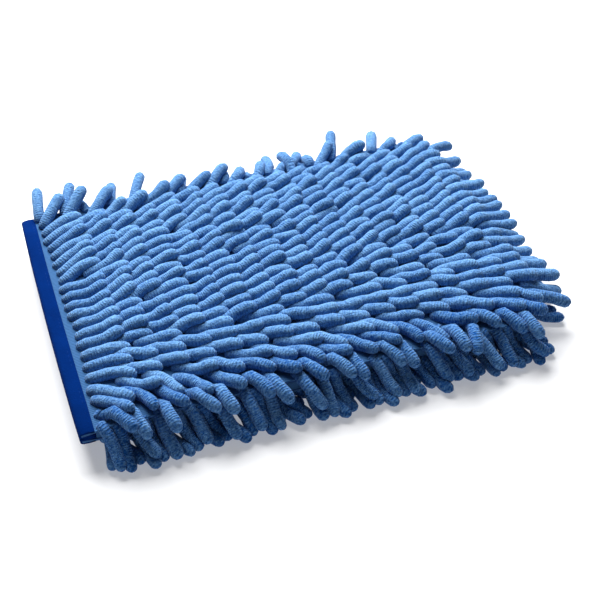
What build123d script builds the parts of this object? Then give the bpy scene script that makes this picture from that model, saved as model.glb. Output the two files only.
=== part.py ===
from build123d import *

"""Chenille wash mitt: a flat cloth bag for the hand, with rows of soft chenille fingers on both faces.

The bag has an upper and a lower half. Each half is a knitted backing cloth that carries the pile,
with a lining on the hand's side and a folded tape over its mouth edge. The halves are closed
together round three sides by a seam allowance inside the bag. One row of pile is one chenille yarn,
looped into fingers and held to the backing by its ground bar.

Frame: +X runs from the mouth to the closed end, Y across, +Z up. The origin is the centre of the
object's footprint, on the surface that it lies on. Sizes are millimetres and degrees.
"""

import math
import os
from functools import cache

# Cloth bag
cloth_length = 284.0  # mouth edge to the closed end
cloth_width = 195.0  # side edge to side edge
corner_radius = 30.0  # of the two corners at the closed end
backing_thickness = 1.0
lining_thickness = 0.5
pocket_height = 7.0  # between the two linings

# Tape folded over each half's mouth edge
tape_width = 7.5
tape_thickness = 1.2
tape_fit = 0.02  # air between the tape and the cloth inside it
fold_radius = 1.0  # of the tape's two outer corners

# Pile
row_pitch = 15.3
first_row_gap = 5.5  # from the tape's inner edge to the first row
end_margin = 5.0  # least distance from the last row to the closed end
column_pitch = 8.8
side_margin = 7.0  # least distance from an outer column to the side edge
finger_length = 30.0
finger_width = 7.6
layer_clearance = 0.14  # between a finger and the one that lies over it
upper_lift = 19.5  # how steeply the free upper fingers lie
lower_lift = 16.0  # the lower ones are pressed flatter by the mitt's weight
last_row_lift = 4.0  # the last row has nothing under its tips
root_clearance = 0.1  # from the backing to a finger's lower corner
tip_relief = 0.15  # by which the round of the tip is wider than the finger, each side
splay_turns = (60.0, 28.0)  # outward turn of the two outer columns, outermost first
last_row_splay = (20.0, 10.0)
outermost_lift = 2.0  # of the upper fingers in the outermost columns, which lie over the edge
bar_width = 3.0
bar_height = 0.9  # above the backing
bar_sink = 0.3  # into the backing, where the yarn is knitted in
bar_overhang = 2.0  # past the outermost root

# Closing seam, the sewn-in edge of the two halves, inside the bag
seam_width = 5.0
seam_inset = 0.5
seam_thickness = 6.0
seam_start_gap = 0.5  # from the tape's inner edge

# Thread
thread_radius = 0.35
thread_sink = 0.2
stitch_length = 2.6
stitch_pitch = 3.6
stitch_from_tape_edge = 2.0
end_stitch_margin = 3.0  # from the side edge to the last stitch
overlock_length = 4.0
overlock_pitch = 5.0

half_width = cloth_width / 2
cloth_thickness = lining_thickness + backing_thickness
upper_underside = pocket_height  # of the upper lining
upper_surface = upper_underside + cloth_thickness
lower_surface = -cloth_thickness  # the pocket's floor is at zero while the parts are made
first_row_x = tape_width + first_row_gap
row_count = int((cloth_length - end_margin - first_row_x) // row_pitch) + 1
row_places = [first_row_x + row_pitch * i for i in range(row_count)]
columns_each_side = int((half_width - side_margin) // column_pitch)
column_places = [column_pitch * i for i in range(-columns_each_side, columns_each_side + 1)]


def finger_thickness(lift):
    """A finger is as thick as the space between two rows at that lift allows."""
    return row_pitch * math.sin(math.radians(lift)) - layer_clearance


def bag_plan(inset=0.0):
    """The bag seen from above: square at the mouth, rounded at the closed end."""
    length = cloth_length - inset
    plan = Pos(length / 2, 0) * Rectangle(length, cloth_width - 2 * inset)
    return fillet(plan.vertices().group_by(Axis.X)[-1], corner_radius - inset)


def cloth(low, thickness):
    """A cloth of the whole bag's plan."""
    return Pos(0, 0, low) * extrude(bag_plan(), thickness)


def strip(start, end, low, thickness, reach=half_width):
    """A flat strip across the bag."""
    return Pos((start + end) / 2, 0, low + thickness / 2) * Box(end - start, 2 * reach, thickness)


def cuff_tape(cloth_low):
    """Tape folded over the mouth edge of a half: a slab with the room for its two cloths cut out."""
    slab = strip(-tape_thickness, tape_width, cloth_low - tape_thickness, cloth_thickness + 2 * tape_thickness)
    fold = slab.edges().filter_by(Axis.Y).group_by(Axis.X)[0]
    room = strip(-tape_fit, tape_width + 1, cloth_low - tape_fit, cloth_thickness + 2 * tape_fit)
    return fillet(fold, fold_radius) - room


def finger(thickness):
    """One chenille finger, lying along +X from its root: rounded sides and a half-round tip."""
    body = extrude(Plane.YZ * SlotOverall(finger_width, thickness), finger_length)
    tip_radius = finger_width / 2 + tip_relief
    straight = finger_length - tip_radius
    plan = Pos(straight / 2, 0) * Rectangle(straight, 2 * tip_radius) + Pos(straight, 0) * Circle(tip_radius)
    return body & extrude(plan, thickness, both=True)


def has_root(x, y):
    """True where a root at x, y stands on the cloth, clear of its rounded corners."""
    corner_x = cloth_length - corner_radius
    corner_y = half_width - corner_radius
    if x <= corner_x or abs(y) <= corner_y:
        return True
    return math.hypot(x - corner_x, abs(y) - corner_y) <= corner_radius - side_margin


def columns_at(x):
    """The columns that have a root in the row at x."""
    return tuple(y for y in column_places if has_root(x, y))


@cache
def pile_row(columns, thickness, splay, lift, edge_lift):
    """One row standing on a surface at zero: its ground bar and a finger at every column."""
    reach = columns[-1] + bar_overhang
    bar = strip(-bar_width / 2, bar_width / 2, -bar_sink, bar_sink + bar_height, reach)
    shape = finger(thickness)
    fingers = []
    for i, y in enumerate(columns):
        from_edge = min(i, len(columns) - 1 - i)
        turn = math.copysign(splay[from_edge], y) if from_edge < len(splay) else 0.0
        own_lift = edge_lift if from_edge == 0 else lift
        root = Pos(-bar_width / 2, y, thickness / 2 + root_clearance)
        fingers.append(root * Rot(0, 0, turn) * Rot(0, -own_lift, 0) * shape)
    return bar + fingers


def lie_of(x, lift):
    """Splay and lift of the fingers in the row at x: the last row lies flatter and fans less."""
    return (last_row_splay, last_row_lift) if x == row_places[-1] else (splay_turns, lift)


def upper_row(x):
    splay, lift = lie_of(x, upper_lift)
    row = pile_row(columns_at(x), finger_thickness(upper_lift), splay, lift, outermost_lift)
    return Pos(x, 0, upper_surface) * row


def lower_row(x):
    splay, lift = lie_of(x, lower_lift)
    row = pile_row(columns_at(x), finger_thickness(lower_lift), splay, lift, lift)
    return Pos(x, 0, lower_surface) * mirror(row, Plane.XY)


def thread_bar(length):
    """One stitch, along Y."""
    return Rot(90, 0, 0) * Cylinder(thread_radius, length)


def cuff_stitches(surface, side):
    """The line of stitches that holds a tape, on its outer face. side is 1 above and -1 below."""
    count = int((cloth_width - 2 * end_stitch_margin) // stitch_pitch)
    stitch = thread_bar(stitch_length)
    x = tape_width - stitch_from_tape_edge
    z = surface + side * (thread_radius - thread_sink)
    return Compound([Pos(x, (i - count / 2) * stitch_pitch, z) * stitch for i in range(count + 1)])


def closing_seam():
    """The sewn-in edge of both halves: a band round three sides of the pocket's floor."""
    band = bag_plan(seam_inset) - bag_plan(seam_inset + seam_width)
    start = tape_width + seam_start_gap
    keep = Pos((start + cloth_length) / 2, 0) * Rectangle(cloth_length - start, cloth_width)
    return extrude(band & keep, seam_thickness)


def overlock_stitches():
    """The overlock thread: a bar across the seam at every pitch round its three sides."""
    path = bag_plan(seam_inset + seam_width / 2).face().outer_wire()
    count = int(path.length // overlock_pitch)
    stitch = thread_bar(overlock_length)
    first_x = tape_width + seam_start_gap + overlock_pitch / 2
    made = []
    for i in range(count):
        spot, along = path.position_at(i / count), path.tangent_at(i / count)
        if spot.X < first_x:
            continue
        angle = math.degrees(math.atan2(along.Y, along.X))
        height = seam_thickness + thread_radius - thread_sink
        made.append(Pos(spot.X, spot.Y, height) * Rot(0, 0, angle) * stitch)
    return Compound(made)


def build():
    """Every piece by name, in the frame that it is made in."""
    tape_top = upper_surface + tape_thickness
    tape_bottom = lower_surface - tape_thickness
    pieces = {
        "lower_backing": cloth(lower_surface, backing_thickness),
        "lower_lining": cloth(-lining_thickness, lining_thickness),
        "lower_cuff_tape": cuff_tape(lower_surface),
        "lower_cuff_stitches": cuff_stitches(tape_bottom, -1),
        "closing_seam": closing_seam(),
        "closing_seam_stitches": overlock_stitches(),
        "upper_backing": cloth(upper_underside + lining_thickness, backing_thickness),
        "upper_lining": cloth(upper_underside, lining_thickness),
        "upper_cuff_tape": cuff_tape(upper_underside),
        "upper_cuff_stitches": cuff_stitches(tape_top, 1),
    }
    for number, x in enumerate(row_places, 1):
        pieces[f"lower_pile_row_{number:02d}"] = lower_row(x)
        pieces[f"upper_pile_row_{number:02d}"] = upper_row(x)
    return pieces


made = build()
extent = Compound([solid for piece in made.values() for solid in piece.solids()]).bounding_box()
to_origin = Pos(-(extent.min.X + extent.max.X) / 2, 0, -extent.min.Z)
os.makedirs("parts", exist_ok=True)
for name, piece in made.items():
    export_step(to_origin * piece, f"parts/{name}.step")
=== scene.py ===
import math

import bpy
import numpy as np
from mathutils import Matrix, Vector


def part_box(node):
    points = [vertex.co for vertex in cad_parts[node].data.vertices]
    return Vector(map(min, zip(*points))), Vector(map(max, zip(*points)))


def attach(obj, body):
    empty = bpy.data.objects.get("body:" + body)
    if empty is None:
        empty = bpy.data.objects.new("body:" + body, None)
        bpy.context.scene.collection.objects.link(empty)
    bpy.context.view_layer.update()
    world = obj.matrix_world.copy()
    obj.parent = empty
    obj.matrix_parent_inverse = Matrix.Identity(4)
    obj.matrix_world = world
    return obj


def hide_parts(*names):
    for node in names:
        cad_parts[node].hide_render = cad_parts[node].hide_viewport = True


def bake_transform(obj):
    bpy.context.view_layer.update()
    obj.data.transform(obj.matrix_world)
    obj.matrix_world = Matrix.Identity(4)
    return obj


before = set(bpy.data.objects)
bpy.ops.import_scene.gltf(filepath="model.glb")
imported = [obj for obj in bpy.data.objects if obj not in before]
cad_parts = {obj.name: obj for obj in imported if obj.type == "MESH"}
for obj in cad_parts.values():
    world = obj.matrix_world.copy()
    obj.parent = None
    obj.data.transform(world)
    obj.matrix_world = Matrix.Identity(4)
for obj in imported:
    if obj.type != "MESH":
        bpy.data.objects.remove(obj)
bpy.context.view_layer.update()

# ---- Backing cloths and linings -------------------------------------------------------------
# Each half of the bag is a knitted polyester backing that carries the pile, with a thin mesh
# lining on the hand's side. The two are cut to one plan, square at the mouth and rounded at the
# closed end. The upper half bends when a hand goes in, so it is made in a near and a far panel.
mm = 0.001
lower_cloth_low, lower_cloth_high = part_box("lower_backing")
mouth_x = lower_cloth_low.x
end_x = lower_cloth_high.x
half_width = lower_cloth_high.y
bag_length = end_x - mouth_x
corner_radius = 30 * mm
corner_steps = 7
panel_rows = 16
panel_columns = 7
weld_gap = 0.01 * mm
crown_height = 2.5 * mm
crown_fade = 0.3 * bag_length  # from the closed end
mouth_bow = 1.0 * mm
bow_fade = 0.25 * bag_length
mouth_pinch = 2.2 * mm
pinch_fade = 16 * mm
pinch_share = 0.20  # of the half width, at each end of the mouth
# The cloth's own blue, made darker as painted shade for the bare cloth between the fingers.
cloth_blue_with_painted_shade = (0.042, 0.135, 0.320, 1)
lining_blue = (0.030, 0.085, 0.270, 1)


def clear_selection():
    """Leaves edit mode with nothing selected."""
    if bpy.context.object and bpy.context.object.mode != "OBJECT":
        bpy.ops.object.mode_set(mode="OBJECT")
    bpy.ops.object.select_all(action="DESELECT")


def points_of(piece):
    """The mesh's points as rows of x, y, z."""
    flat = np.empty(len(piece.data.vertices) * 3)
    piece.data.vertices.foreach_get("co", flat)
    return flat.reshape(-1, 3)


def set_points(piece, points):
    """Moves the mesh's points to the given rows."""
    piece.data.vertices.foreach_set("co", np.ascontiguousarray(points, float).ravel())
    piece.data.update()


def select_vertices(piece, wanted):
    """Selects the vertices that wanted(x, y, z) picks, in edit mode with vertices."""
    bpy.ops.object.mode_set(mode="OBJECT")
    for vertex in piece.data.vertices:
        vertex.select = bool(wanted(*vertex.co))
    for edge in piece.data.edges:
        edge.select = all(piece.data.vertices[i].select for i in edge.vertices)
    for face in piece.data.polygons:
        face.select = all(piece.data.vertices[i].select for i in face.vertices)
    bpy.ops.object.mode_set(mode="EDIT")


def settle_in_place(piece, name):
    """Leaves the piece at the origin, unturned and unscaled, with its place in its mesh."""
    clear_selection()
    piece.select_set(True)
    bpy.context.view_layer.objects.active = piece
    bpy.ops.object.transform_apply(location=True, rotation=True, scale=True)
    piece.name = name
    piece.data.name = name
    return piece


def apply_modifier(piece, kind, **settings):
    """Adds a modifier with these settings and applies it at once."""
    clear_selection()
    piece.select_set(True)
    bpy.context.view_layer.objects.active = piece
    modifier = piece.modifiers.new(kind.title(), kind)
    for key, value in settings.items():
        setattr(modifier, key, value)
    bpy.ops.object.modifier_apply(modifier=modifier.name)


def cut_along(start, end, count, normal):
    """Cuts the piece across at evenly spaced stations, so that it can bend there."""
    for i in range(1, count):
        spot = start + (end - start) * i / count
        bpy.ops.mesh.select_all(action="SELECT")
        place = (spot, 0, 0) if normal[0] else (0, spot, 0)
        bpy.ops.mesh.bisect(plane_co=place, plane_no=normal)


def crown_at(x, y):
    """Height by which the upper half stands up in the middle, dying away at the closed end."""
    across = np.clip(1 - (y / half_width) ** 2, 0, 1)
    along = np.clip((end_x - x) / crown_fade, 0, 1)
    return crown_height * across * along * along * (3 - 2 * along)


def pinch_at(x, y):
    """How far each half's mouth edge draws in to meet the other at its two ends."""
    to_side = np.clip((np.abs(y) / half_width - (1 - pinch_share)) / pinch_share, 0, 1)
    into_bag = np.clip(1 - (x - mouth_x) / pinch_fade, 0, 1)
    return mouth_pinch * to_side * to_side * (3 - 2 * to_side) * into_bag


def bow_at(x, y):
    """How far the mouth edge bows outwards, dying away into the bag."""
    across = np.clip(1 - (y / half_width) ** 2, 0, 1)
    into_bag = np.clip(1 - (x - mouth_x) / bow_fade, 0, 1)
    return -mouth_bow * across * into_bag


def make_cloth(name, height, thickness, side=0, crowned=False):
    """A cloth of the bag's plan. side is 0 for the whole, -1 for the near panel, 1 for the far."""
    clear_selection()
    middle = ((mouth_x + end_x) / 2, 0, height + thickness / 2)
    bpy.ops.mesh.primitive_plane_add(size=1, location=middle)
    piece = bpy.context.object
    piece.scale = (bag_length, 2 * half_width, 1)
    settle_in_place(piece, name)
    select_vertices(piece, lambda x, y, z: x > middle[0])
    bpy.ops.mesh.bevel(offset=corner_radius, segments=corner_steps, affect="VERTICES")
    cut_along(mouth_x, end_x, panel_rows, (1, 0, 0))
    cut_along(-half_width, half_width, 2 * panel_columns, (0, 1, 0))
    if side:
        bpy.ops.mesh.select_all(action="SELECT")
        bpy.ops.mesh.bisect(plane_co=(0, 0, 0), plane_no=(0, -side, 0), clear_outer=True)
    bpy.ops.mesh.select_all(action="SELECT")
    bpy.ops.mesh.remove_doubles(threshold=weld_gap)
    bpy.ops.mesh.normals_make_consistent(inside=False)
    bpy.ops.object.mode_set(mode="OBJECT")
    apply_modifier(piece, "SOLIDIFY", thickness=thickness, offset=0)
    points = points_of(piece)
    points[:, 0] += bow_at(points[:, 0], points[:, 1])
    pinch = pinch_at(points[:, 0], points[:, 1])
    points[:, 2] += crown_at(points[:, 0], points[:, 1]) - pinch if crowned else pinch
    set_points(piece, points)
    bpy.ops.object.shade_smooth_by_angle(angle=math.radians(40))
    return piece


class Wire:
    """One output of a node, so that shader maths reads as an expression."""

    def __init__(self, tree, socket):
        self.tree = tree
        self.socket = socket

    def maths(self, operation, *values):
        """The output of a new Math node."""
        node = self.tree.nodes.new("ShaderNodeMath")
        node.operation = operation
        for i, value in enumerate(values):
            plug(self.tree, node.inputs[i], value)
        return Wire(self.tree, node.outputs[0])

    def __add__(self, other):
        return self.maths("ADD", self, other)

    def __mul__(self, other):
        return self.maths("MULTIPLY", self, other)

    def __sub__(self, other):
        return self.maths("SUBTRACT", self, other)

    def __rsub__(self, other):
        return self.maths("SUBTRACT", other, self)

    __radd__ = __add__
    __rmul__ = __mul__

    def to_power(self, exponent):
        return self.maths("POWER", self, exponent)

    def sine(self):
        return self.maths("SINE", self)


def plug(tree, socket, value):
    """Links a wire to a socket, or sets the socket's own value."""
    if isinstance(value, Wire):
        tree.links.new(value.socket, socket)
    else:
        socket.default_value = value


class Finish:
    """A material on one Principled shader."""

    def __init__(self, name, **constants):
        self.material = bpy.data.materials.new(name)
        self.material.use_nodes = True
        self.tree = self.material.node_tree
        self.shader = self.tree.nodes["Principled BSDF"]
        for socket, value in constants.items():
            self.shader.inputs[socket.replace("_", " ")].default_value = value

    def node(self, kind, settings=None, inputs=None, output=0):
        """A new node with its settings made first and then its sockets fed."""
        made = self.tree.nodes.new("ShaderNode" + kind)
        for key, value in (settings or {}).items():
            setattr(made, key, value)
        for key, value in (inputs or {}).items():
            plug(self.tree, made.inputs[key], value)
        return Wire(self.tree, made.outputs[output])

    def feed(self, **inputs):
        """Links or sets the shader's sockets."""
        for socket, value in inputs.items():
            plug(self.tree, self.shader.inputs[socket.replace("_", " ")], value)
        return self

    def place(self):
        """Object coordinates."""
        return self.node("TexCoord", output=3)

    def mix_colours(self, factor, first, second):
        """From the first colour to the second; the colour sockets are numbers 6 and 7."""
        settings = {"data_type": "RGBA", "blend_type": "MIX"}
        return self.node("Mix", settings, {0: factor, 6: first, 7: second}, output=2)

    def bump(self, height, strength, distance):
        """A normal raised by the height."""
        sockets = {"Height": height, "Strength": strength, "Distance": distance}
        return self.node("Bump", inputs=sockets)


def darker(colour, share):
    return tuple(c * share for c in colour[:3]) + (1,)


def knit_finish(name, colour, scale):
    """Plain knitted cloth: fine wales across the bag and a little unevenness of dye."""
    finish = Finish(name, Roughness=0.9, Sheen_Weight=0.06, Sheen_Roughness=0.5,
                    Specular_IOR_Level=0.1)
    place = finish.place()
    knit = {"Vector": place, "Scale": scale, "Distortion": 0.6}
    wales = finish.node("TexWave", {"bands_direction": "Y"}, knit)
    fuzz = finish.node("TexNoise", inputs={"Vector": place, "Scale": 900.0, "Detail": 3.0})
    patch = finish.node("TexNoise", inputs={"Vector": place, "Scale": 60.0, "Detail": 2.0})
    dark = darker(colour, 0.6)
    tint = finish.mix_colours(wales * 0.4 + patch * 0.5, dark, colour)
    height = wales * 0.5 + fuzz
    return finish.feed(Base_Color=tint, Normal=finish.bump(height, 0.5, 0.0006)).material


backing_finish = knit_finish("knitted_backing", cloth_blue_with_painted_shade, 260.0)
lining_finish = knit_finish("mesh_lining", lining_blue, 420.0)
root_body, upper_body = "lower_half", "upper_half"
PANELS = {"near": -1, "far": 1}


def give_finish(piece, material):
    """Dresses the piece in one material."""
    piece.data.materials.clear()
    piece.data.materials.append(material)


def bend_with_mouth(piece):
    """Bakes an upper panel's placing into its mesh."""
    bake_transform(piece)


def cloth_sizes(node):
    """The underside and the thickness of a cloth in the frame."""
    low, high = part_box(node)
    return low.z, high.z - low.z


for node, material, slot in (
    ("lower_backing", backing_finish, "backing_cloth"),
    ("lower_lining", lining_finish, "lining"),
):
    cloth = make_cloth(node + "_cloth", *cloth_sizes(node))
    give_finish(cloth, material)
    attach(cloth, root_body)
    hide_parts(node)

for node, material, slot in (
    ("upper_backing", backing_finish, "backing_cloth"),
    ("upper_lining", lining_finish, "lining"),
):
    for panel, side in PANELS.items():
        cloth = make_cloth(f"{node}_{panel}", *cloth_sizes(node), side=side, crowned=True)
        give_finish(cloth, material)
        bend_with_mouth(cloth)
        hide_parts(node)

# ---- Tape over the mouth edge ---------------------------------------------------------------
# A dense felt-like binding tape, folded lengthways over each half's mouth edge and sewn through.
# Its ends are cut square and turned in, so they look slightly rounded.
tape_low, tape_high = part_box("lower_cuff_tape")
upper_tape_low, upper_tape_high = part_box("upper_cuff_tape")
tape_wall = 1.2 * mm
tape_blue = (0.0003, 0.021, 0.150, 1)
tape_puff = 0.35 * mm
tape_edge_round = 0.35 * mm
tape_overlap = 1 * mm  # past the middle, before an upper tape is cut there
tape_stations = 24
puff_pitch = 3.6 * mm  # the tape puffs up between its stitches
fold_steps = 6


def make_tape(name, low, high, side=0, crowned=False):
    """A tape folded over the cloth's edge: one leaf, spun round the fold, and the other leaf."""
    clear_selection()
    fold_radius = (high.z - low.z - tape_wall) / 2
    fold_x = low.x + tape_wall / 2 + fold_radius
    leaf = high.x - fold_x
    near_end = -half_width if side <= 0 else -tape_overlap
    far_end = half_width if side >= 0 else tape_overlap
    middle_z = (low.z + high.z) / 2
    place = (fold_x + leaf / 2, (near_end + far_end) / 2, middle_z + fold_radius)
    bpy.ops.mesh.primitive_plane_add(size=1, location=place)
    tape = bpy.context.object
    tape.scale = (leaf, far_end - near_end, 1)
    settle_in_place(tape, name)
    select_vertices(tape, lambda x, y, z: x < fold_x + 0.1 * mm)
    bpy.ops.mesh.spin(steps=fold_steps, angle=math.pi, center=(fold_x, 0, middle_z), axis=(0, 1, 0))
    lowest = middle_z - fold_radius + 0.05 * mm
    select_vertices(tape, lambda x, y, z: x < fold_x + 0.1 * mm and z < lowest)
    bpy.ops.mesh.extrude_region_move(TRANSFORM_OT_translate={"value": (leaf, 0, 0)})
    cut_along(near_end, far_end, tape_stations // 2 if side else tape_stations, (0, 1, 0))
    bpy.ops.mesh.select_all(action="SELECT")
    bpy.ops.mesh.bisect(plane_co=(fold_x + leaf / 2, 0, 0), plane_no=(1, 0, 0))
    bpy.ops.mesh.select_all(action="SELECT")
    bpy.ops.mesh.remove_doubles(threshold=weld_gap)
    bpy.ops.mesh.normals_make_consistent(inside=False)
    bpy.ops.object.mode_set(mode="OBJECT")
    apply_modifier(tape, "SOLIDIFY", thickness=tape_wall, offset=0)
    apply_modifier(tape, "BEVEL", width=tape_edge_round, segments=2, limit_method="ANGLE")
    if side:
        bpy.ops.object.mode_set(mode="EDIT")
        bpy.ops.mesh.select_all(action="SELECT")
        inward = (0, -side, 0)
        bpy.ops.mesh.bisect(plane_co=(0, 0, 0), plane_no=inward, clear_outer=True, use_fill=True)
        bpy.ops.object.mode_set(mode="OBJECT")
    points = points_of(tape)
    x, y, z = points.T
    outward = np.sign(z - middle_z) * (np.abs(z - middle_z) > fold_radius)
    along_leaf = np.clip((x - fold_x) / leaf, 0, 1)
    quilting = 1 + 0.4 * np.sin(y / puff_pitch * 2 * math.pi)
    z += outward * tape_puff * np.sin(math.pi * along_leaf) * quilting
    pinch = pinch_at(np.minimum(x, fold_x), y)
    z += crown_at(x, y) - pinch if crowned else pinch
    x += bow_at(x, y)
    set_points(tape, points)
    bpy.ops.object.shade_smooth_by_angle(angle=math.radians(50))
    return tape


tape_finish = Finish("felted_tape", Roughness=1.0, Specular_IOR_Level=0.02)
tape_place = tape_finish.place()
felt = {"Vector": tape_place, "Scale": 1400.0, "Detail": 4.0}
tape_fuzz = tape_finish.node("TexNoise", inputs=felt)
wear = {"Vector": tape_place, "Scale": 90.0, "Detail": 3.0}
tape_patch = tape_finish.node("TexNoise", inputs=wear)
tape_mix = tape_patch * 0.9 + tape_fuzz * 0.4 - 0.15
tape_tint = tape_finish.mix_colours(tape_mix, darker(tape_blue, 0.55), tape_blue)
tape_finish.feed(Base_Color=tape_tint, Normal=tape_finish.bump(tape_fuzz + tape_patch, 0.6, 0.0006))

lower_tape = make_tape("lower_binding_tape", tape_low, tape_high)
give_finish(lower_tape, tape_finish.material)
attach(lower_tape, root_body)
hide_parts("lower_cuff_tape")
for panel, side in PANELS.items():
    name = f"upper_binding_tape_{panel}"
    tape = make_tape(name, upper_tape_low, upper_tape_high, side, crowned=True)
    give_finish(tape, tape_finish.material)
    bend_with_mouth(tape)
    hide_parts("upper_cuff_tape")

# ---- Stitches through the tape --------------------------------------------------------------
# One line of polyester lockstitch holds each tape, 2 mm from its inner edge. Every stitch is a
# short length of thread that dips into the tape at both ends.
stitch_length = 2.6 * mm
stitch_pitch = 3.6 * mm
thread_radius = 0.32 * mm
thread_sides = 6
thread_stand = 0.3 * mm  # of the thread's middle off the tape
thread_dip = 0.45 * mm  # of a stitch's ends below its middle
sewing_margin = 4 * mm  # from the tape's ends
thread_blue = (0.0005, 0.020, 0.130, 1)
stitch_x = tape_high.x - 2 * mm
thread_finish = Finish("polyester_thread", Base_Color=thread_blue, Roughness=0.9,
                       Specular_IOR_Level=0.05)


def copy_of(prototype, name):
    """A copy with a mesh of its own."""
    twin = prototype.copy()
    twin.data = prototype.data.copy()
    twin.name = name
    bpy.context.collection.objects.link(twin)
    return twin


def join_pieces(parts, name):
    """The parts as one piece."""
    clear_selection()
    for part in parts:
        part.select_set(True)
    bpy.context.view_layer.objects.active = parts[0]
    if len(parts) > 1:
        bpy.ops.object.join()
    joined = bpy.context.object
    joined.name = name
    joined.data.name = name
    return joined


clear_selection()
across_mouth = (math.pi / 2, 0, 0)
bpy.ops.mesh.primitive_cylinder_add(
    vertices=thread_sides, radius=thread_radius, depth=stitch_length, rotation=across_mouth
)
stitch = settle_in_place(bpy.context.object, "one_stitch")
apply_modifier(stitch, "BEVEL", width=0.18 * mm, segments=1, limit_method="ANGLE")
bent = points_of(stitch)
bent[:, 2] -= thread_dip * (bent[:, 1] / (stitch_length / 2)) ** 2
set_points(stitch, bent)


def sew_line(name, height, facing, places, crowned=False):
    """A stitch at every place across the mouth; facing is 1 on top and -1 beneath."""
    sewn = []
    for y in places:
        one = copy_of(stitch, name)
        points = points_of(stitch)
        points[:, 2] *= facing
        pinch = pinch_at(mouth_x, y)
        lift = crown_at(stitch_x, y) - pinch if crowned else pinch
        spot = np.array((stitch_x + bow_at(stitch_x, y), y, height + lift))
        set_points(one, points + spot)
        if facing < 0:
            one.data.flip_normals()
        sewn.append(one)
    line = join_pieces(sewn, name)
    bpy.ops.object.shade_smooth()
    give_finish(line, thread_finish.material)
    return line


stitch_count = int((half_width - sewing_margin) / stitch_pitch)
stitch_places = [(i + 0.5) * stitch_pitch for i in range(stitch_count)]
both_ways = [-y for y in reversed(stitch_places)] + stitch_places
lower_sewing = sew_line("lower_tape_stitches", tape_low.z - thread_stand, -1, both_ways)
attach(lower_sewing, root_body)
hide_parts("lower_cuff_stitches")
for panel, side in PANELS.items():
    places = [side * y for y in stitch_places]
    name = f"upper_tape_stitches_{panel}"
    sewing = sew_line(name, upper_tape_high.z + thread_stand, 1, places, crowned=True)
    bend_with_mouth(sewing)
    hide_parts("upper_cuff_stitches")
bpy.data.objects.remove(stitch)

# ---- Closing seam ---------------------------------------------------------------------------
# The two halves are sewn face to face and turned, so their overlocked edges lie inside the bag,
# round its two sides and its closed end. The seam is knitted cloth bound with polyester thread.
seam_finish = knit_finish("overlocked_edge", cloth_blue_with_painted_shade, 320.0)
for node, material, slot in (
    ("closing_seam", seam_finish, "seam_cloth"),
    ("closing_seam_stitches", thread_finish.material, "thread"),
):
    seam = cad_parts[node]
    seam.data.materials.clear()
    seam.data.materials.append(material)

# ---- Pile -----------------------------------------------------------------------------------
# Every row is one chenille yarn knitted into the backing and looped into soft fingers about
# 30 mm long. They lie like shingles towards the closed end, fan out over the near side, where
# they hang to the table, and stand out past the far side.
row_count = 18
first_row = mouth_x + 10.8 * mm
last_row = end_x - 8 * mm
row_pitch = (last_row - first_row) / (row_count - 1)
column_pitch = 8.4 * mm
columns_each_side = 11
finger_length = 29.0 * mm
finger_radius = 3.85 * mm
softness = 0.78  # of a finger's radius, to which its neighbours press it
root_sink = 1.0 * mm
corner_margin = 4 * mm  # from a root to the cloth's rounded corner
edge_band = 16 * mm  # the two outer columns of each side
outer_band = 12 * mm  # the outermost column
near_band = 26 * mm  # the columns that fan out on the near side
stray_rows = 5  # the rows by the mouth whose far fingers stand out most
chain_points = 7
seed = np.random.default_rng(7)
upper_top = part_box("upper_backing")[1].z
lower_bottom = lower_cloth_low.z
finger_sides = 8
lower_girth = 0.93  # of an upper finger's
ring_stations = [0.0, 1.4, 6.0, 12.0, 17.5, 22.5, 26.0, 28.2, 29.3]
ring_sizes = [0.62, 0.92, 0.97, 0.98, 1.0, 1.03, 0.98, 0.68, 0.22]


def make_finger():
    """One finger along +X: a ring drawn out step by step, fuller towards its rounded tip."""
    clear_selection()
    start = finger_radius * ring_sizes[0]
    turn = (0, math.pi / 2, 0)
    bpy.ops.mesh.primitive_circle_add(
        vertices=finger_sides, radius=start, fill_type="NGON", rotation=turn
    )
    one = settle_in_place(bpy.context.object, "one_finger")
    bpy.ops.object.mode_set(mode="EDIT")
    bpy.ops.mesh.select_all(action="SELECT")
    for i in range(1, len(ring_stations)):
        step = (ring_stations[i] - ring_stations[i - 1]) * mm
        growth = ring_sizes[i] / ring_sizes[i - 1]
        bpy.ops.mesh.extrude_region_move(TRANSFORM_OT_translate={"value": (step, 0, 0)})
        bpy.ops.transform.resize(value=(1, growth, growth))
    bpy.ops.mesh.select_all(action="SELECT")
    bpy.ops.mesh.normals_make_consistent(inside=False)
    bpy.ops.object.mode_set(mode="OBJECT")
    bpy.ops.object.shade_smooth()
    return one


def stands_on_cloth(x, y):
    """True where a root is clear of the cloth's rounded corners."""
    past_x = x - (end_x - corner_radius)
    past_y = abs(y) - (half_width - corner_radius)
    return past_x <= 0 or past_y <= 0 or math.hypot(past_x, past_y) <= corner_radius - corner_margin


# How steeply the fingers leave the cloth, in degrees: over the middle, in the last row, and on
# the sides. A stray one stands out by the mouth, and a hanging one starts down the side.
middle_lift = 22
last_row_lift = 9
near_side_lift = -14
far_side_lift = 14
stray_lift = 28
hanging_lift = -48
lower_side_lift = 12
hanging_turn = 58  # outward
stray_share = 0.8
stand_out_share = 0.5

# How unevenly the roots are set.
stagger = 0.8 * mm
waver_along = 0.7 * mm
waver_across = 0.4 * mm

# How fast a finger sinks in one step of the settling.
heavy = 0.00010
springy = 0.000025
stiff = 0.000010

# How the fingers are combed: outward turn in degrees by place across the bag.
comb_places = np.array([-97, -88, -79, -70, -60, -48, -20, 20, 60, 72, 80, 88, 97]) * mm
upper_comb = [-60, -56, -48, -36, -22, -8, 4, 9, 14, 20, 34, 58, 76]
lower_comb = [-56, -52, -44, -30, -16, -5, 0, 0, 6, 16, 30, 48, 66]


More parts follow.
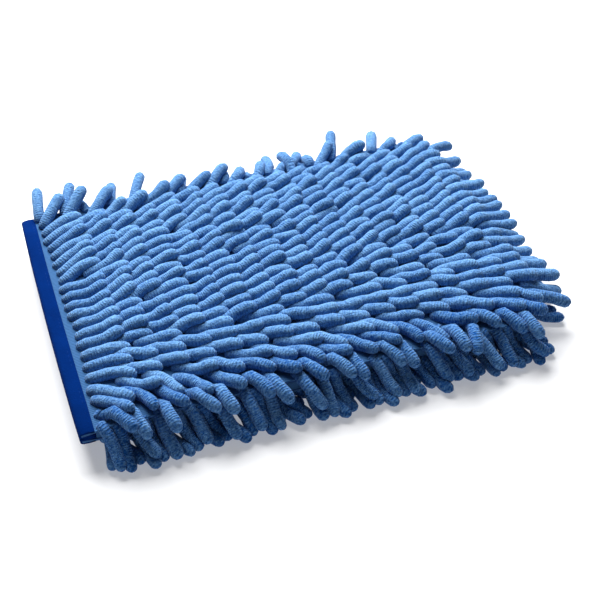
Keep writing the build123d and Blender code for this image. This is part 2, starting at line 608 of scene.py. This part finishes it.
def lay_out(upper):
    """Roots, first directions, weights and row numbers of one face's fingers."""
    roots, headings, falls, rows = [], [], [], []

    def plant(x, y, turn_angle, lift_angle, fall, row):
        """Adds one finger."""
        turn, lift = math.radians(turn_angle), math.radians(lift_angle)
        upward = math.sin(lift) if upper else -math.sin(lift)
        height = upper_top + crown_at(x, y) - root_sink if upper else lower_bottom
        roots.append((x, y, height))
        level = math.cos(lift)
        headings.append((math.cos(turn) * level, math.sin(turn) * level, upward))
        falls.append(fall)
        rows.append(row)

    for row in range(row_count):
        x = first_row + row * row_pitch
        for column in range(-columns_each_side, columns_each_side + 1):
            y = column * column_pitch
            if not stands_on_cloth(x, y):
                continue
            shift = stagger * (1 if row % 2 else -1)
            place = (x + seed.normal(0, waver_along), y + shift + seed.normal(0, waver_across))
            edge = abs(y) > half_width - edge_band
            comb = np.interp(y, comb_places, upper_comb if upper else lower_comb)
            if row == row_count - 1:
                comb *= 0.6
            if upper and y > half_width - outer_band and row < stray_rows:
                comb += 26 - 5 * row
            comb += seed.normal(0, 12.0 if edge else 2.4)
            lift_angle, fall = middle_lift + seed.normal(0, 1.8), heavy
            stands_out = seed.random() < (stray_share if row < stray_rows else stand_out_share)
            if edge and upper and y > 0:
                rise = stray_lift if row < stray_rows else far_side_lift
                lift_angle = rise * stands_out + seed.normal(0, 11)
                fall = stiff if stands_out else heavy
            elif edge and upper:
                lift_angle, fall = near_side_lift + seed.normal(0, 7), springy
            elif edge:
                lift_angle = lower_side_lift + seed.normal(0, 6)
            elif upper and row == row_count - 1:
                lift_angle, fall = last_row_lift + seed.normal(0, 5), stiff
            elif upper and y < -half_width + near_band:
                fall = springy
            plant(*place, comb, lift_angle, fall, row)
            if upper and abs(column) == columns_each_side:
                # One more finger hangs over the side between this row and the next.
                side = math.copysign(1, y)
                turn_angle = side * (hanging_turn + seed.normal(0, 12))
                over_side = (x + 0.5 * row_pitch, y + side * 2.5 * mm)
                plant(*over_side, turn_angle, hanging_lift + seed.normal(0, 8), heavy, row)
    return np.array(roots), np.array(headings), np.array(falls), np.array(rows)


def settle(chains, is_upper, girth, falls, steps):
    """Lets the fingers find their lie under their own weight, resting on each other, on the
    cloth and on the table. A chain's first two points stay where they are knitted."""
    count, size = chains.shape[:2]
    place = chains.reshape(-1, 3).copy()
    speed = np.zeros_like(place)
    owner = np.repeat(np.arange(count), size)
    order = np.tile(np.arange(size), count)
    held = order < 2
    reach = np.repeat(girth, size)
    upper_point = np.repeat(is_upper, size)
    segment = np.linalg.norm(chains[:, 1] - chains[:, 0], axis=1).mean()
    first = np.flatnonzero(order < size - 1)
    # A finger resists bending: so many segments on, its points stay at least so many apart.
    spans = [
        (np.flatnonzero(order < size - count_on), count_on, least, firmness)
        for count_on, least, firmness in ((2, 1.99, 1.0), (3, 2.97, 1.0), (4, 3.92, 0.8))
    ]
    weight = np.where(held, 0.0, 1.0)
    fall = np.repeat(falls, size)
    reach_apart = 9.5 * mm  # points further apart than this can't touch soon
    damping = 0.82
    top_speed = 1.2 * mm
    firm_push = 1.3
    press = 0.8  # of its reach, by which a finger stands off the cloth
    table_gap = 1.05  # of its radius, by which it stands off the table
    block_size = 1000

    def pull(a, b, wanted, stiffness, only_short=False):
        """Moves the points a and b to the wanted distance apart."""
        gap = place[b] - place[a]
        length = np.linalg.norm(gap, axis=1) + 1e-9
        error = length - wanted
        if only_short:
            error = np.minimum(error, 0)
        share = weight[a] + weight[b]
        share[share == 0] = 1
        push = gap * (stiffness * error / length / share)[:, None]
        np.add.at(place, a, push * weight[a][:, None])
        np.add.at(place, b, -push * weight[b][:, None])

    for step in range(steps):
        before = place.copy()
        speed[~held, 2] -= fall[~held]
        place += speed * weight[:, None]
        if step % 6 == 0:
            found_a, found_b = [], []
            square = (place**2).sum(1)
            for low in range(0, len(place), block_size):
                block = place[low : low + block_size]
                apart = square[low : low + block_size, None] + square[None] - 2 * block @ place.T
                a, b = np.nonzero(apart < reach_apart**2)
                a += low
                keep = (a < b) & (owner[a] != owner[b])
                found_a.append(a[keep])
                found_b.append(b[keep])
            pairs = (np.concatenate(found_a), np.concatenate(found_b))
        for _ in range(3):
            pull(first, first + 1, segment, 1.0)
            for start, count_on, least, firmness in spans:
                pull(start, start + count_on, least * segment, firmness, only_short=True)
            a, b = pairs
            gap = place[b] - place[a]
            length = np.linalg.norm(gap, axis=1) + 1e-9
            deep = reach[a] + reach[b] - length
            hit = (deep > 0) & ((weight[a] + weight[b]) > 0)
            a, b, gap, length, deep = a[hit], b[hit], gap[hit], length[hit], deep[hit]
            push = gap * (0.5 * deep / length)[:, None]
            moved = np.zeros_like(place)
            times = np.zeros(len(place))
            np.add.at(moved, a, -push)
            np.add.at(moved, b, push)
            np.add.at(times, a, 1)
            np.add.at(times, b, 1)
            place += firm_push * moved / np.maximum(times, 1)[:, None] * weight[:, None]
            over_cloth = (np.abs(place[:, 1]) < half_width) & (place[:, 0] < end_x)
            top = upper_top + crown_at(place[:, 0], place[:, 1]) + press * reach
            rests = over_cloth & upper_point & ~held
            place[rests, 2] = np.maximum(place[rests, 2], top[rests])
            beneath = over_cloth & ~upper_point & ~held
            bottom = lower_bottom - press * reach[beneath]
            place[beneath, 2] = np.minimum(place[beneath, 2], bottom)
            free = ~held
            place[free, 2] = np.maximum(place[free, 2], table_gap * reach[free] / softness)
        speed = (place - before) * damping
        limit = np.linalg.norm(speed, axis=1, keepdims=True) / top_speed
        speed /= np.maximum(limit, 1)
    return place.reshape(count, size, 3)


def ring_weights(stations):
    """Weights of a chain's points for a smooth curve at each station: its place and its slope."""
    table = np.zeros((len(stations), chain_points))
    slopes = np.zeros_like(table)
    scale = finger_length / (chain_points - 1)
    for i, station in enumerate(stations):
        t = station * mm / scale
        k = int(min(max(math.floor(t), 0), chain_points - 2))
        u = t - k
        basis = (
            (-u + 2 * u**2 - u**3) / 2,
            (2 - 5 * u**2 + 3 * u**3) / 2,
            (u + 4 * u**2 - 3 * u**3) / 2,
            (u**3 - u**2) / 2,
        )
        slope = (
            (-1 + 4 * u - 3 * u**2) / 2,
            (-10 * u + 9 * u**2) / 2,
            (1 + 8 * u - 9 * u**2) / 2,
            (3 * u**2 - 2 * u) / 2,
        )
        for j in range(4):
            at = k - 1 + j
            for share, into in ((basis[j], table), (slope[j], slopes)):
                if at < 0:
                    into[i, 0] += 2 * share
                    into[i, 1] -= share
                elif at >= chain_points:
                    into[i, -1] += 2 * share
                    into[i, -2] -= share
                else:
                    into[i, at] += share
    return table, slopes


def bend_fingers(shape, chains, girths):
    """The finger's points bent along every chain, as an array of chain by vertex by axis."""
    ring = np.abs(shape[:, 0][:, None] - np.array(ring_stations) * mm).argmin(1)
    table, slopes = ring_weights(ring_stations)
    centres = np.einsum("rp,cpx->crx", table, chains)
    ahead = np.einsum("rp,cpx->crx", slopes, chains)
    ahead /= np.linalg.norm(ahead, axis=2, keepdims=True)
    sideways = np.cross(np.array((0, 0, 1.0)), ahead[:, 0])
    sideways /= np.linalg.norm(sideways, axis=1, keepdims=True)
    bent = np.empty((len(chains), len(shape), 3))
    for r in range(len(ring_stations)):
        along = ahead[:, r]
        sideways = sideways - (sideways * along).sum(1)[:, None] * along
        sideways /= np.linalg.norm(sideways, axis=1, keepdims=True)
        upward = np.cross(along, sideways)
        mine = np.flatnonzero(ring == r)
        across = shape[mine, 1][None, :, None] * sideways[:, None]
        up = shape[mine, 2][None, :, None] * upward[:, None]
        bent[:, mine] = centres[:, r][:, None] + girths[:, None, None] * (across + up)
    return bent


upper_roots, upper_headings, upper_falls, upper_rows = lay_out(True)
lower_roots, lower_headings, lower_falls, lower_rows = lay_out(False)
roots = np.concatenate((upper_roots, lower_roots))
headings = np.concatenate((upper_headings, lower_headings))
is_upper = np.arange(len(roots)) < len(upper_roots)
settling_steps = 140
girths = np.where(is_upper, 1.0, lower_girth) * seed.uniform(0.93, 1.06, len(roots))
spaced = np.linspace(0, finger_length, chain_points)
chains = roots[:, None] + spaced[None, :, None] * headings[:, None]
falls = np.concatenate((upper_falls, lower_falls))
chains = settle(chains, is_upper, girths * finger_radius * softness, falls, settling_steps)

finger = make_finger()
finger_shape = points_of(finger)
bent_fingers = bend_fingers(finger_shape, chains, girths)
# Painted shade: the lower pile and the near and hanging fingers are darker, for the shade they lie
# in.
painted_shade_below = 1.8
painted_shade_near = 1.5
painted_shade_hanging = 0.8
hanging_band = 3 * mm
tones_and_painted_shade = seed.uniform(0, 1, len(roots)) - np.where(is_upper, 0.0, painted_shade_below)
tones_and_painted_shade[is_upper & (roots[:, 1] < -half_width + near_band)] -= painted_shade_near
tones_and_painted_shade[is_upper & (np.abs(roots[:, 1]) > half_width - hanging_band)] -= painted_shade_hanging

pile_blue = (0.003, 0.072, 0.290, 1)
pile_light = (0.228, 0.475, 0.800, 1)
# Painted shade: the colour towards which each finger darkens at its root.
pile_painted_shade_blue = (0.003, 0.020, 0.100, 1)
rib_count = 20
pile_finish = Finish("chenille_pile", Roughness=0.95, Sheen_Weight=0.1, Sheen_Roughness=0.4,
                     Specular_IOR_Level=0.1)
pile_place = pile_finish.place()
along_yarn = pile_finish.node("Attribute", {"attribute_name": "along_yarn"}, output=2)
# Each finger's random tone, with the painted shade of the lower, near and hanging fingers.
finger_tone_and_painted_shade = pile_finish.node("Attribute", {"attribute_name": "finger_tone_and_painted_shade"}, output=2)
fibres = {"Vector": pile_place, "Scale": 620.0, "Detail": 4.0, "Roughness": 0.65}
fluff = pile_finish.node("TexNoise", inputs=fibres)
tufts = pile_finish.node("TexNoise", inputs={"Vector": pile_place, "Scale": 180.0, "Detail": 2.0})
ribs = (along_yarn * (2 * math.pi * rib_count) + tufts * 9.0).sine()
# Painted shade: each finger darkens towards its root, where it lies under the tips of the row
# before.
root_painted_shade = (1 - along_yarn).to_power(2.2)
lightness = fluff * 1.5 + ribs * 0.07 + finger_tone_and_painted_shade * 0.13 - 0.36
tone = pile_finish.mix_colours(lightness, pile_blue, pile_light)
tone = pile_finish.mix_colours(root_painted_shade * 0.2, tone, pile_painted_shade_blue)
pile_height = ribs * 0.20 + fluff * 1.6 + tufts * 0.6
pile_finish.feed(Base_Color=tone, Normal=pile_finish.bump(pile_height, 0.8, 1.0 * mm))


def make_row(name, chosen):
    """The chosen fingers as one piece."""
    parts = []
    for i in chosen:
        one = copy_of(finger, name)
        set_points(one, bent_fingers[i])
        along = one.data.attributes.new("along_yarn", "FLOAT", "POINT")
        along.data.foreach_set("value", (finger_shape[:, 0] / finger_length).astype(np.float32))
        shade = one.data.attributes.new("finger_tone_and_painted_shade", "FLOAT", "POINT")
        shade.data.foreach_set("value", np.full(len(finger_shape), tones_and_painted_shade[i], np.float32))
        parts.append(one)
    row = join_pieces(parts, name)
    give_finish(row, pile_finish.material)
    return row


lower_numbers = np.arange(len(lower_roots)) + len(upper_roots)
for row in range(row_count):
    node = f"lower_pile_row_{row + 1:02d}"
    piece = make_row(f"lower_pile_{row + 1:02d}", lower_numbers[lower_rows == row])
    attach(piece, root_body)
    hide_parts(node)
    for panel, side in PANELS.items():
        on_side = upper_roots[:, 1] * side > 0 if side > 0 else upper_roots[:, 1] <= 0
        chosen = np.flatnonzero((upper_rows == row) & on_side)
        piece = make_row(f"upper_pile_{row + 1:02d}_{panel}", chosen)
        bend_with_mouth(piece)
        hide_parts(f"upper_pile_row_{row + 1:02d}")
bpy.data.objects.remove(finger)

# ---- Table, light and camera ----------------------------------------------------------------
# A plain white table, lit a little from within, under one large soft light behind the mitt. The
# camera looks down on the mitt from the near long side.
table_size = 8.0
table_white = (0.62, 0.62, 0.62, 1)
table_glow = (0.93, 0.95, 1.0, 1)
clear_selection()
bpy.ops.mesh.primitive_plane_add(size=table_size, location=(0, 0, 0))
floor = bpy.context.object
floor.name = "table_top"
floor_finish = Finish("lit_white_table", Base_Color=table_white, Roughness=0.9,
                      Emission_Color=table_glow, Emission_Strength=0.34)
floor.data.materials.append(floor_finish.material)

softbox_place = Vector((0.05, 1.12, 1.20))
softbox = bpy.data.lights.new("overhead_softbox", "AREA")
softbox.shape = "SQUARE"
softbox.size = 1.3
softbox.energy = 89.0
lamp = bpy.data.objects.new("overhead_softbox", softbox)
bpy.context.collection.objects.link(lamp)
lamp.location = softbox_place
lamp.rotation_euler = (-softbox_place).to_track_quat("-Z", "Y").to_euler()

surroundings = bpy.data.worlds.new("studio")
bpy.context.scene.world = surroundings
surroundings.use_nodes = True
sky = surroundings.node_tree.nodes["Background"]
sky.inputs["Color"].default_value = (1, 1, 1, 1)
sky.inputs["Strength"].default_value = 0.10
bpy.context.scene.view_settings.view_transform = "Standard"

view_turn = math.radians(-19.3)
view_height = math.radians(42.1)
view_distance = 0.685
look_at = Vector((mouth_x + 0.1464, -0.0334, 0.020))
back = Vector((
    math.sin(view_turn) * math.cos(view_height),
    -math.cos(view_turn) * math.cos(view_height),
    math.sin(view_height),
))
lens = bpy.data.cameras.new("camera")
lens.lens = 67.8
lens.clip_start = 0.01
camera = bpy.data.objects.new("camera", lens)
bpy.context.collection.objects.link(camera)
camera.location = look_at + view_distance * back
camera.rotation_euler = (-back).to_track_quat("-Z", "Y").to_euler()
bpy.context.scene.camera = camera
